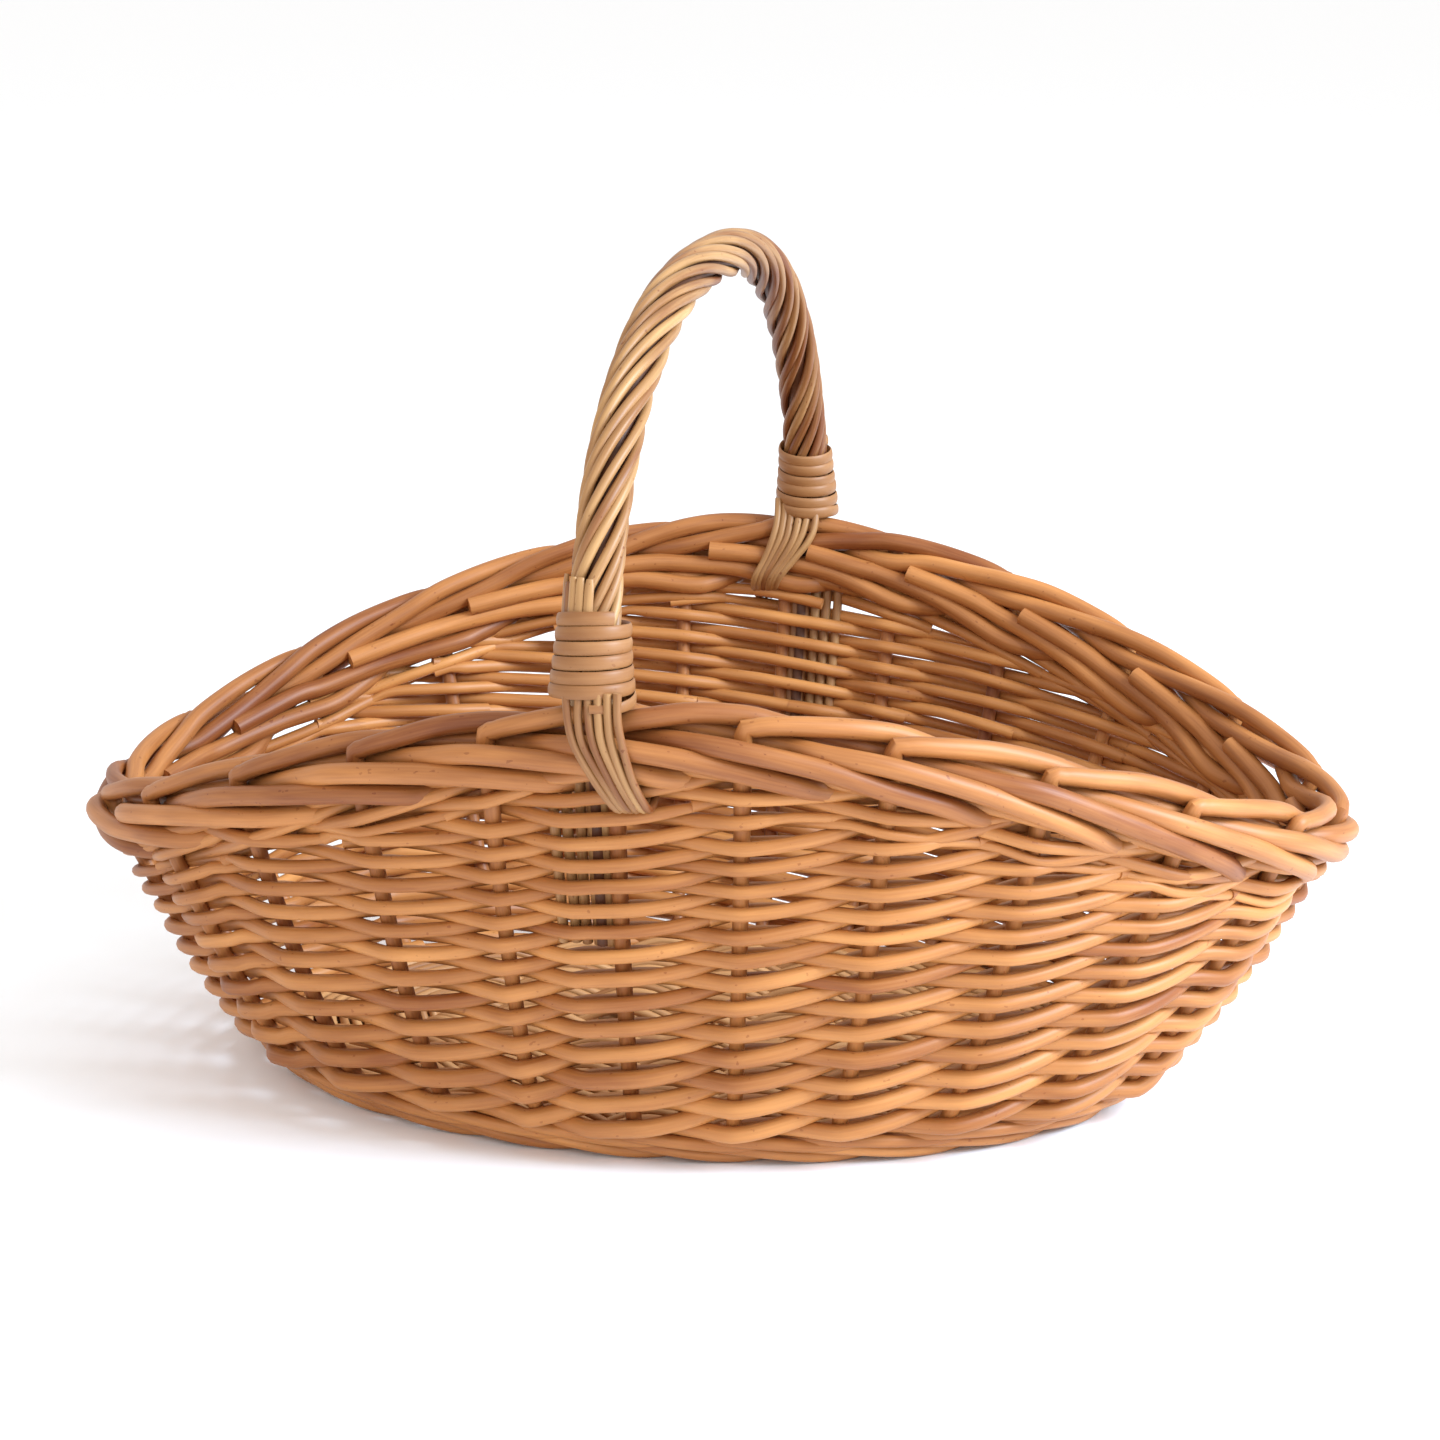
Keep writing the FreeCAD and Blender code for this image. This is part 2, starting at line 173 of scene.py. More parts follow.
# Handle.
ARCH_SHOULDER = 2.38  # power of the arch: 2 is an ellipse, more is squarer
ARCH_END = 6.0  # degrees of the arch that are left out at each end
ARCH_STEP = 2.5  # distance between the points of its centreline
HANDLE_SPRING = 172.0  # height at which the arch leaves the line of the walls
BOW_R = 5.4
ROPE_R = 9.3
CROWN_HEIGHT = node_box("handle_roping")[1][2] - ROPE_R
HANDLE_FOOT_Z = 188.0  # where the bow comes out of the border
HANDLE_FOOT_X = 11.5  # each foot stands this far on the clockwise side of the middle
HANDLE_HALF_SPAN = RIM_HALF_WIDTH + 1.6
FRONT_STAKE = 18
BACK_STAKE = 6
ROPING_RODS = 10
ROPING_LAY = 135.0  # length of one turn of the roping
ROPING_EASE = 0.36  # share by which it turns faster at the feet, and slower at the crown
ROPING_FULLNESS = (0.86, 1.02)  # the least and most thickness, as a share of the room for a rod
ROPING_UNEVEN = 0.09  # radians by which the rods are spaced unevenly round the bow
ROPING_WAVE = 0.05  # and by which each of them strays
BINDING_HEIGHT = 32.0
BINDING_TURNS = 6.8
BINDING_START = 2.1  # angle round the handle, in radians, at which the first turn begins
BINDING_TAIL = 0.3  # length of the tail below the first turn, in turns
BINDING_TAIL_DROP = 9.0  # millimetres per turn that the tail falls further than the other turns
CANE_OVERLAP = 0.51  # half a cane's width, as a share of the height of a turn
CANE_FLATNESS = 0.32  # its thickness, as a share of its width
ANCHOR_RODS = 6
ANCHOR_R = 1.6
ANCHOR_PITCH = 3.4
ANCHOR_ASIDE = 3.0  # how far round the rim the middle of the anchor rods is from the bow
ANCHOR_SWEEP = 14.5  # and how much further they sweep on their way under the border
TIP_R = 1.7
TIP_HEIGHTS = (8.5, 12.5)  # how far above a binding the cut tips stand, at least and most
LINER_RODS = 5
LINER_R = 2.0
LINER_PITCH = 4.4
LINER_ASIDE = -14.5  # how far round the rim the first liner rod is from the bow
LINER_BOTTOM = 95.0

# Camera. Its two angles are in degrees, to the right of the front and up.
CAMERA_AZIMUTH = 10.31
CAMERA_ELEVATION = 15.25
CAMERA_DISTANCE = 1.384  # from the point that it looks at, in metres
CAMERA_TARGET = (0.0034, 0.0, 0.139)  # that point, in metres
CAMERA_LENS_MM = 89.2
CAMERA_SENSOR_MM = 36.0


# ---------------------------------------------------------------- shape of the wall


def signed_power(value, power):
    """A power that keeps the sign."""
    return np.copysign(np.abs(value) ** power, value)


def stake_angle(place):
    """The angle round the basket, in radians, at which a place lies on the wall's ovals."""
    even = np.radians(360.0 / STAKE_COUNT * np.asarray(place, float) + STAKE_TURN)
    return even + STAKE_EVENING * np.sin(2 * even)


def rim_height(place):
    angle = stake_angle(place)
    saddle = (RIM_HEIGHT_SIDE - RIM_HEIGHT_END) * np.abs(np.sin(angle)) ** RIM_SADDLE_POWER
    return RIM_HEIGHT_END + saddle - RIM_TWIST * np.sin(2 * angle) + RIM_TILT * np.cos(angle)


def wall_point(place, z, out=0.0):
    """Points of the wall, moved outwards by out. The arguments may be numbers or arrays."""
    place, z, out = np.broadcast_arrays(np.asarray(place, float), z, out)
    angle = stake_angle(place)
    share = np.maximum(z, 0.0) / rim_height(place)
    end_swell = share**END_SWELL
    half_length = BASE_HALF_LENGTH + (RIM_HALF_LENGTH - BASE_HALF_LENGTH) * end_swell
    half_width = BASE_HALF_WIDTH + (RIM_HALF_WIDTH - BASE_HALF_WIDTH) * share**SIDE_SWELL
    power = 2.0 / (2.0 + (RIM_OVAL_POWER - 2.0) * share)
    across = np.stack([np.cos(angle) / half_length, np.sin(angle) / half_width], -1)
    across /= np.linalg.norm(across, axis=-1, keepdims=True)
    x = half_length * signed_power(np.cos(angle), power) + BASE_SHIFT * (1 - end_swell)
    x = x + out * across[..., 0]
    y = half_width * signed_power(np.sin(angle), power) + out * across[..., 1]
    return np.stack([x, y, z * np.ones_like(x)], -1)


def rim_point(place, out, drop):
    """A point out from the wall, at a drop below the top of the border."""
    return wall_point(place, rim_height(place) + BORDER_RISE - drop, out)


def bays_per_mm(place, z):
    """Turns a length round the wall into bays, at a place and a height."""
    return 1.0 / np.linalg.norm(wall_point(place + 0.5, z) - wall_point(place - 0.5, z))


# ---------------------------------------------------------------- meshes


def smooth_path(points, step=3.0):
    """A Catmull-Rom curve through the points, with a point about every step."""
    points = np.asarray(points, float)
    ends = [2 * points[0] - points[1]], [2 * points[-1] - points[-2]]
    padded = np.concatenate([ends[0], points, ends[1]])
    path = []
    for a, b, c, d in zip(padded, padded[1:], padded[2:], padded[3:]):
        count = max(2, int(round(np.linalg.norm(c - b) / step)))
        t = (np.arange(count) / count)[:, None]
        middle = (c - a) * t + (2 * a - 5 * b + 4 * c - d) * t**2 + (3 * b - a - 3 * c + d) * t**3
        path.append(b + middle / 2)
    path.append(points[-1:])
    return np.concatenate(path)


def wander(count, size, spacing=12):
    """Smooth chance offsets, one row per point."""
    knots = chance.normal(0.0, size, (count // spacing + 3, 3))
    at = np.arange(count) / spacing
    return np.stack([np.interp(at, np.arange(len(knots)), knots[:, i]) for i in range(3)], -1)


def unit(vectors):
    return vectors / np.maximum(np.linalg.norm(vectors, axis=-1, keepdims=True), 1e-9)


def carried_normals(tangents):
    """Normals that turn as little as possible along a path."""
    start = np.cross(tangents[0], (0.31, 0.17, 0.93))
    normals = [start / np.linalg.norm(start)]
    for tangent in tangents[1:]:
        normal = normals[-1] - tangent * np.dot(normals[-1], tangent)
        normals.append(normal / np.linalg.norm(normal))
    return np.array(normals)


def mesh_piece(name, vertices, faces, grain, tone, material, slot, replaced):
    """A new piece of the basket. grain and tone are what its material reads at each vertex."""
    mesh = bpy.data.meshes.new(name)
    mesh.from_pydata((np.asarray(vertices) * MM).tolist(), [], faces)
    grain_layer = mesh.attributes.new("grain", "FLOAT_VECTOR", "POINT")
    grain_layer.data.foreach_set("vector", np.ravel(grain))
    tone_layer = mesh.attributes.new("tone", "FLOAT", "POINT")
    tone_layer.data.foreach_set("value", np.ravel(tone))
    mesh.polygons.foreach_set("use_smooth", [True] * len(mesh.polygons))
    mesh.set_sharp_from_angle(angle=math.radians(50))
    mesh.materials.append(material)
    piece = bpy.data.objects.new(name, mesh)
    bpy.context.scene.collection.objects.link(piece)
    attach(piece, "root")
    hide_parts(*replaced)
    return piece


def rod_parts(path, radii, sides, tone, shade=0.0, normals=None, flatness=1.0):
    """Vertices, faces, grain and tone of a rod with cut ends, which are paler than its sides.

    shade darkens the rod, where it is above 0. A flat rod is thin in the direction of normals.
    """
    path = np.asarray(path, float)
    count = len(path)
    radii = np.broadcast_to(np.asarray(radii, float), count)
    tangents = unit(np.gradient(path, axis=0))
    if normals is None:
        normals = carried_normals(tangents)
    else:
        normals = unit(normals - tangents * np.sum(normals * tangents, -1, keepdims=True))
    sideways = np.cross(tangents, normals)
    turn = np.arange(sides) * 2 * math.pi / sides
    round_part = flatness * np.cos(turn)[None, :, None] * normals[:, None]
    round_part = round_part + np.sin(turn)[None, :, None] * sideways[:, None]
    rings = path[:, None] + radii[:, None, None] * round_part
    vertices = np.concatenate([rings.reshape(-1, 3), path[:1], path[-1:]])
    faces = []
    for ring in range(count - 1):
        low, high = ring * sides, (ring + 1) * sides
        for i in range(sides):
            j = (i + 1) % sides
            faces.append((low + i, low + j, high + j, high + i))
    last = (count - 1) * sides
    for i in range(sides):
        j = (i + 1) % sides
        faces.append((j, i, count * sides))
        faces.append((last + i, last + j, count * sides + 1))
    along = np.concatenate([[0.0], np.cumsum(np.linalg.norm(np.diff(path, axis=0), axis=1))])
    grain = np.empty((count, sides, 3))
    grain[..., 0] = along[:, None]
    grain[..., 1] = radii[:, None] * np.cos(turn)
    grain[..., 2] = radii[:, None] * np.sin(turn)
    ends = np.array([[along[0], 0, 0], [along[-1], 0, 0]])
    grain = np.concatenate([grain.reshape(-1, 3), ends]) + chance.uniform(0, 900, 3)
    tones = np.broadcast_to(tone - np.asarray(shade, float), count)
    cut_tone = tone + 0.5
    tones = np.concatenate([np.repeat(tones, sides), [cut_tone, cut_tone]])
    return vertices, faces, grain, tones


def add_rod(name, path, radii, material, slot, replaced=(), sides=10, **look):
    """A rod along a path, with a chance tone of its own. look goes on to rod_parts()."""
    tone = chance.normal(0.0, TONE_SPREAD)
    parts = rod_parts(path, radii, sides, tone, **look)
    return mesh_piece(name, *parts, material, slot, replaced)


# ---------------------------------------------------------------- materials

BASE_COLOURS = ((0.30, 0.11, 0.03), (0.60, 0.31, 0.12))
BLOTCHES = 1.1  # how strong the soft blotches are
SPECK_LEVEL = 0.74  # how rare the specks are, below 1
SPECK_DEPTH = 0.3


def willow(name, dark, light, roughness=0.5, streaks=0.5):
    """Peeled willow: streaks along the rod, soft blotches, dark specks and each rod's own tone."""
    material = bpy.data.materials.new(name)
    material.use_nodes = True
    nodes, links = material.node_tree.nodes, material.node_tree.links
    shader = nodes["Principled BSDF"]
    shader.inputs["Roughness"].default_value = roughness
    shader.inputs["Specular IOR Level"].default_value = 0.35
    shader.inputs["Coat Weight"].default_value = 0.1
    shader.inputs["Coat Roughness"].default_value = 0.4

    grain = nodes.new("ShaderNodeAttribute")
    grain.attribute_name = "grain"
    tone = nodes.new("ShaderNodeAttribute")
    tone.attribute_name = "tone"

    def noise(scale, detail):
        stretch = nodes.new("ShaderNodeMapping")
        stretch.inputs["Scale"].default_value = scale
        texture = nodes.new("ShaderNodeTexNoise")
        texture.inputs["Scale"].default_value = 1.0
        texture.inputs["Detail"].default_value = detail
        links.new(grain.outputs["Vector"], stretch.inputs["Vector"])
        links.new(stretch.outputs["Vector"], texture.inputs["Vector"])
        return texture.outputs["Fac"]

    def combine(kind, a, b):
        node = nodes.new("ShaderNodeMath")
        node.operation = kind
        for socket, value in zip(node.inputs, (a, b)):
            if isinstance(value, (int, float)):
                socket.default_value = value
            else:
                links.new(value, socket)
        return node.outputs["Value"]

    streak = noise((0.05, 1.1, 1.1), 4.0)
    blotch = noise((0.022, 0.12, 0.12), 2.0)
    speck = noise((0.35, 0.5, 0.5), 1.0)
    shade = combine("MULTIPLY", combine("SUBTRACT", streak, 0.5), streaks)
    shade = combine("ADD", shade, combine("MULTIPLY", combine("SUBTRACT", blotch, 0.5), BLOTCHES))
    shade = combine("ADD", shade, tone.outputs["Fac"])
    shade = combine("ADD", shade, 0.5)
    spots = combine("MULTIPLY", combine("GREATER_THAN", speck, SPECK_LEVEL), SPECK_DEPTH)
    shade = combine("SUBTRACT", shade, spots)

    ramp = nodes.new("ShaderNodeValToRGB")
    ramp.color_ramp.elements[0].position = 0.0
    ramp.color_ramp.elements[0].color = (*dark, 1)
    ramp.color_ramp.elements[1].position = 1.0
    ramp.color_ramp.elements[1].color = (*light, 1)
    links.new(shade, ramp.inputs["Fac"])
    links.new(ramp.outputs["Color"], shader.inputs["Base Color"])

    bump = nodes.new("ShaderNodeBump")
    bump.inputs["Strength"].default_value = 0.25
    bump.inputs["Distance"].default_value = 0.3 * MM
    links.new(streak, bump.inputs["Height"])
    links.new(bump.outputs["Normal"], shader.inputs["Normal"])
    return material


STAKE_WILLOW = willow("stake_willow", (0.20, 0.052, 0.010), (0.56, 0.225, 0.062))
WEAVING_WILLOW = willow("weaving_willow", (0.25, 0.07, 0.012), (0.60, 0.255, 0.072))
ROPING_WILLOW = willow("roping_willow", (0.17, 0.045, 0.008), (0.55, 0.31, 0.12), 0.45)
BASE_WILLOW = willow("base_willow", *BASE_COLOURS, 0.55)
CANE = willow("cane", (0.24, 0.09, 0.024), (0.46, 0.23, 0.09), 0.5, 0.35)


# ---------------------------------------------------------------- base


def ring_crossings(half_length, sticks):
    """The angles at which an oval row of the base meets the sticks, once round."""
    front = [math.acos(np.clip(x / half_length, -1, 1)) for x in sticks]
    turns = [0.0] + sorted(front) + [math.pi] + sorted(2 * math.pi - a for a in front)
    return np.array(turns + [2 * math.pi])


def make_base_rods():
    """Rods woven over and under the sticks, in ovals from the middle to the edge."""
    cross = [node_box(f"base_cross_stick_{n}") for n in range(1, 8)]
    sticks = [(low[0] + high[0]) / 2 - BASE_SHIFT for low, high in cross]
    first_low, first_high = cross[0]
    stick_r = (first_high[2] - first_low[2]) / 2
    rod_r = 1.85
    rows = 26
    points = 260
    start = 0.02  # angle at which each row begins and ends, in radians
    press = 0.98  # the rods lie pressed against the sticks a little
    inner = (max(sticks) + 8.0, 11.5)  # the first row, just past the end sticks and the long ones
    outer = (PLATE_HALF_LENGTH + rod_r, PLATE_HALF_WIDTH + rod_r)
    for row in range(rows):
        share = row / (rows - 1)
        half_length = inner[0] + (outer[0] - inner[0]) * share
        half_width = inner[1] + (outer[1] - inner[1]) * share
        turns = ring_crossings(half_length, sticks)
        angle = np.linspace(0, 2 * math.pi, points) + start
        crossing = np.interp(angle % (2 * math.pi), turns, np.arange(len(turns)))
        height = STAKE_LEVEL + (stick_r + rod_r) * np.cos(math.pi * (crossing + row)) * press
        across = half_width * np.sin(angle)
        path = np.stack([BASE_SHIFT + half_length * np.cos(angle), across, height], -1)
        radii = rod_r * chance.uniform(0.93, 1.0)
        replaced = ["base_weave"] if row == rows - 1 else []
        add_rod(f"base_rod_{row + 1:02d}", path, radii, BASE_WILLOW, "base_willow", replaced, 8)


# ---------------------------------------------------------------- stakes and border


def make_stakes():
    """Each stake from the base's edge up the wall and round its route in the border."""
    for number in range(STAKE_COUNT):
        angle = float(stake_angle(number))
        edge_x = BASE_SHIFT + PLATE_HALF_LENGTH * math.cos(angle)
        edge = np.array([edge_x, PLATE_HALF_WIDTH * math.sin(angle), STAKE_LEVEL])
        foot = wall_point(number, STAKE_LEVEL, -STAKE_FOOT_INSET)
        inwards = unit(edge - foot)
        points = [edge + inwards * STAKE_IN_BASE, foot]
        top = float(rim_height(number)) - BORDER_DEPTH
        for share in (0.1, 0.4, 0.7, 1.0):
            points.append(wall_point(number, FOOT_TOP + share * (top - FOOT_TOP)))
        for bays, out, drop in BORDER_ROUTE:
            chances = chance.normal(0.0, BORDER_WANDER)
            aside, more_out, lower = chances * (bays > 0.5)
            points.append(rim_point(number + bays + aside, out + more_out, drop + lower))
        path = smooth_path(points, 2.0)
        share = np.linspace(0, 1, len(path))
        known = [FOOT_END_R, FOOT_END_R, RIM_BEND_R, BORDER_END_R]
        radii = np.interp(share, [0, 0.25, 0.4, 1], known) * chance.uniform(0.96, 1.04)
        add_rod(
            f"stake_rod_{number + 1:02d}",
            path,
            radii,
            STAKE_WILLOW,
            "stake_willow",
            [f"stake_{number + 1:02d}"],
            sides=14,
        )


# ---------------------------------------------------------------- siding


def column_table():
    """Height against length up the wall, at STEPS_PER_BAY places in each bay."""
    table = []
    for place in np.arange(STAKE_COUNT * STEPS_PER_BAY) / STEPS_PER_BAY:
        top = rim_height(place) + BORDER_RISE - SIDING_TOP_DEPTH
        z = np.linspace(SIDING_BOTTOM, top, 60)
        points = wall_point(place, z)
        lengths = np.linalg.norm(np.diff(points, axis=0), axis=1)
        table.append((np.concatenate([[0.0], np.cumsum(lengths)]), z))
    return table


COLUMNS = column_table()


def row_thickness(row):
    """Rods are thick at the foot and thinner further up."""
    return np.interp(row, [0, BASE_ROWS], [FOOT_ROW, HIGH_ROW])


def course_thickness(row):
    """All the rows below one, as a thickness."""
    row = np.minimum(row, BASE_ROWS)
    return row * (FOOT_ROW + row_thickness(row)) / 2


def siding_length(place):
    """The length up the wall from the lowest row to the top of the siding."""
    return COLUMNS[int(round(place * STEPS_PER_BAY)) % len(COLUMNS)][0][-1]


def packing_room(place):
    """How many packing rows fit in at a place. It is below 0 at the two ends."""
    room = siding_length(place) - course_thickness(BASE_ROWS) - RIM_ROWS * HIGH_ROW
    return room / HIGH_ROW


def row_length(place, row, at_rim):
    """How far up the wall a row lies; row may lie between two rows.

    The rows above the packing are counted as if it were not there, and have at_rim set.
    Packing that is pushed against them lies a little low.
    """
    unpacked_length = course_thickness(BASE_ROWS) + RIM_ROWS * HIGH_ROW
    squeeze = min(1.0, siding_length(place) / unpacked_length)
    packing = max(packing_room(place), 0.0)
    over = max(row - BASE_ROWS, 0.0)
    if at_rim:
        over = over + packing
    else:
        over = min(over, max(packing - PACKING_GAP, over - PACKING_PUSH))
    return squeeze * (course_thickness(row) + HIGH_ROW * over)


def row_height(place, row, at_rim):
    column = int(round(place * STEPS_PER_BAY)) % len(COLUMNS)
    return np.interp(row_length(place, row, at_rim), *COLUMNS[column])


def beat(place):
    """The stake number that a weaver has reached.

    In the bay of a handle's leg it crosses over early, and then keeps to its side past the leg.
    """
    whole = np.floor(place)
    part = place - whole
    at_leg = np.isin((whole + 1) % STAKE_COUNT, (FRONT_STAKE, BACK_STAKE))
    return whole + np.where(at_leg, np.minimum(part / STROKE_AT_LEG, 1.0), part**STROKE_LAG)


def woven_rod(name, start, first_row, begin, end, fullness, replaced=(), at_rim=False):
    """A rod that climbs one row at each stake, behind one and in front of the next.

    It is as thick as its row is high, times fullness.
    """
    first_step = round(begin * STEPS_PER_BAY)
    last_step = round(end * STEPS_PER_BAY)
    t = np.arange(first_step, last_step + 1) / STEPS_PER_BAY
    places = start + t
    steps = list(zip(places, first_row + t))
    beats = first_row + beat(places) - start
    side = -np.arcsin(STROKE_POINT * np.cos(math.pi * beats)) / math.asin(STROKE_POINT)
    heights = np.array([row_height(place, row, at_rim) for place, row in steps])
    pitches = [
        row_length(place, row + 0.5, at_rim) - row_length(place, row - 0.5, at_rim)
        for place, row in steps
    ]
    radii = fullness * np.clip(pitches, THINNEST_WEAVER, THICKEST_WEAVER) / 2
    dips = STROKE_DIP * (1 + DIP_TO_RIGHT * np.cos(stake_angle(places)))
    path = wall_point(places, heights - dips * side, (STAKE_R + radii - STROKE_HUG) * side)
    path = smooth_path(path + wander(len(path), WEAVER_WANDER, 5))
    radii = np.interp(np.linspace(0, 1, len(path)), np.linspace(0, 1, len(radii)), radii)
    add_rod(name, path, radii, WEAVING_WILLOW, "weaving_willow", replaced)


def make_siding():
    """Rods that follow the base, one from each stake, then rods that follow the rim."""
    for number in range(STAKE_COUNT):
        name = f"siding_rod_{number + 1:02d}"
        replaced = ["lower_siding"] if number == 0 else []
        fullness = chance.uniform(*SIDING_FULLNESS)
        end = BASE_ROWS - TIP_AT_STAKE
        woven_rod(name, number, 0, -TIP_AT_STAKE, end, fullness, replaced)
    for number in range(STAKE_COUNT):
        name = f"rim_row_rod_{number + 1:02d}"
        replaced = ["upper_siding"] if number == 0 else []
        fullness = chance.uniform(*RIM_FULLNESS)
        end = RIM_ROWS + RIM_TAIL
        woven_rod(name, number, BASE_ROWS, -RIM_START, end, fullness, replaced, at_rim=True)


def make_packing():
    """Rods that build the two long walls up. Each starts and ends on the inner side of a stake."""
    count = 0
    t = np.arange(STAKE_COUNT * STEPS_PER_BAY // 2) / STEPS_PER_BAY
    for start in range(STAKE_COUNT):
        room = np.array([packing_room(start + step) for step in t])
        fits = np.flatnonzero(room > t + PACKING_GAP)
        if len(fits) == 0:
            continue
        # A rod is behind a stake at every even number of bays from the one it is counted from.
        begin = 2 * round(t[fits[0]] / 2 - PACKING_EARLY) - PACKING_START
        end = 2 * round(t[fits[-1]] / 2 + PACKING_LATE) + TIP_AT_STAKE
        if end - begin > 1.0:
            count += 1
            fullness = chance.uniform(*PACKING_FULLNESS)
            woven_rod(f"packing_rod_{count:02d}", start, BASE_ROWS, begin, end, fullness)


def make_foot_wale():
    """Two courses round the foot, each of three rods, in front of two stakes and behind one."""
    beats_out = np.array([1.0, 1.0, -1.0]) * (STAKE_R + WALE_R)
    beats_up = np.array([2.1, -2.1, 0.3])
    t = np.arange(STAKE_COUNT * STEPS_PER_BAY + 3) / STEPS_PER_BAY
    stakes = np.arange(STAKE_COUNT + 2)
    strokes = np.stack([stakes, beats_out[stakes % 3], beats_up[stakes % 3]], -1)
    strokes = smooth_path(strokes, 0.3)
    outs = np.interp(t, strokes[:, 0], strokes[:, 1])
    ups = np.interp(t, strokes[:, 0], strokes[:, 2])
    # Each course's height, how much of its strokes it keeps, and how far out from the wall it is.
    courses = ((5.0, 0.85, -4.5), (10.0, 0.6, -2.5))
    for course, (height, reach, out) in enumerate(courses):
        rises = ups * (1 - 0.4 * course)  # the upper course lies flatter
        for number in range(3):
            middle = wall_point(number + t, height + rises, outs * reach + out)
            path = smooth_path(middle, 4.0)
            replaced = ["foot_wale"] if course + number == 0 else []
            name = f"foot_wale_rod_{3 * course + number + 1}"
            radius = WALE_R * chance.uniform(0.95, 1.0)
            add_rod(name, path, radius, WEAVING_WILLOW, "weaving_willow", replaced)


# ---------------------------------------------------------------- handle


def arch_line():
    """The handle's centreline from the front foot to the back foot, in even steps."""
    turns = np.radians(np.linspace(ARCH_END, 180 - ARCH_END, 90))
    power = 2.0 / ARCH_SHOULDER
    along = signed_power(np.cos(turns), power)
    rise = np.sin(turns) ** power
    z = HANDLE_SPRING + (CROWN_HEIGHT - HANDLE_SPRING) * rise
    arch = np.stack([-HANDLE_FOOT_X * along, -HANDLE_HALF_SPAN * along, z], -1)
    arch = arch[arch[:, 2] > HANDLE_FOOT_Z + 6]  # below that, a straight run ends at the foot
    front = np.array([[-HANDLE_FOOT_X, -HANDLE_HALF_SPAN, HANDLE_FOOT_Z]])
    line = smooth_path(np.concatenate([front, arch, front * (-1, -1, 1)]), 1.0)
    lengths = np.concatenate([[0.0], np.cumsum(np.linalg.norm(np.diff(line, axis=0), axis=1))])
    even = np.linspace(0, lengths[-1], int(lengths[-1] / ARCH_STEP))
    return even, np.stack([np.interp(even, lengths, line[:, i]) for i in range(3)], -1)


ARCH_LENGTHS, ARCH = arch_line()
ARCH_SIDE = unit(np.array([HANDLE_HALF_SPAN, -HANDLE_FOOT_X, 0.0])) + 0 * ARCH
ARCH_OUT = np.cross(ARCH_SIDE, unit(np.gradient(ARCH, axis=0)))


def round_arch(lengths, angles, radii):
    """Points round the handle's centreline, at lengths along it, and their outward directions.

    An angle of 0 is the arch's outer side, and a quarter turn is its +X side.
    """
    def at(values):
        return np.stack([np.interp(lengths, ARCH_LENGTHS, values[:, i]) for i in range(3)], -1)

    spoke = np.cos(angles)[:, None] * at(ARCH_OUT) + np.sin(angles)[:, None] * at(ARCH_SIDE)
    return at(ARCH) + (radii + 0 * angles)[:, None] * spoke, spoke


def make_roping():
    """Rods twisted round the bow, lying a little unevenly, with painted shade that darkens them
    towards the back leg.
    """
    rod_r = (ROPE_R - BOW_R) / 2
    lengths = ARCH_LENGTHS
    slack = lengths[-1] / (2 * math.pi) * np.sin(2 * math.pi * lengths / lengths[-1])
    turned = lengths + ROPING_EASE * slack
    for number in range(ROPING_RODS):
        knots = np.linspace(0, lengths[-1], 9)
        wave = np.interp(lengths, knots, chance.normal(0, ROPING_WAVE, len(knots)))
        uneven = ROPING_UNEVEN * math.sin(2.1 * number) + wave
        angles = 2 * math.pi * (number / ROPING_RODS + turned / ROPING_LAY) + uneven
        path, _ = round_arch(lengths, angles, BOW_R + rod_r)
        replaced = ["handle_roping"] if number == 0 else []
        fullness = sorted(chance.uniform(*ROPING_FULLNESS, 2))
        radii = rod_r * np.interp(lengths, [0, lengths[-1]], fullness)
        # Painted shade: the rods grow darker along the arch towards the back leg, which stands in
        # shadow.
        shade = np.interp(lengths / lengths[-1], [0.0, 0.4, 0.75, 1.0], [0.0, 0.05, 0.28, 0.28])
        name = f"roping_rod_{number + 1:02d}"
        add_rod(name, path, radii, ROPING_WILLOW, "roping_willow", replaced, shade=shade)


def from_foot(side, heights):
    """Lengths along the arch at heights above one of its feet."""
    return heights if side == "front" else ARCH_LENGTHS[-1] - heights


def make_binding(side, radius, flare):
    """Turns of split cane round a foot of the handle, with a tail tucked in below.

    radius is that of the turns at the top, and flare is how much wider the lowest one is.
    """
    pitch = BINDING_HEIGHT / BINDING_TURNS
    turn = np.linspace(-BINDING_TAIL, BINDING_TURNS - 1, 320)
    heights = pitch * (turn + 0.5) + BINDING_TAIL_DROP * np.minimum(turn, 0.0)
    heights = heights + np.interp(turn, np.arange(-1, 8), chance.normal(0, 0.25, 9))
    share = np.clip(turn / BINDING_TURNS, 0, 1)
    unevenness = chance.normal(0, 0.05, len(turn)).cumsum() * 0.1
    radii = radius + flare * (1 - share) ** 1.5 + unevenness
    angles = 2 * math.pi * turn + BINDING_START
    path, spoke = round_arch(from_foot(side, heights), angles, radii)
    thick = pitch * CANE_OVERLAP * np.interp(turn, [-BINDING_TAIL, 0.0], [0.6, 1.0])
    look = {"sides": 12, "normals": spoke, "flatness": CANE_FLATNESS}
    replaced = [f"cane_binding_{side}"]
    add_rod(f"cane_turns_{side}", path, thick, CANE, "binding_cane", replaced, **look)


def leg_place(beside):
    """The place at which the handle's leg stands beside a stake."""
    towards = 1.0 if beside == BACK_STAKE else -1.0
    gap = abs(wall_point(beside, HANDLE_SPRING)[0] - towards * HANDLE_FOOT_X)
    return beside - gap * bays_per_mm(beside, HANDLE_SPRING)


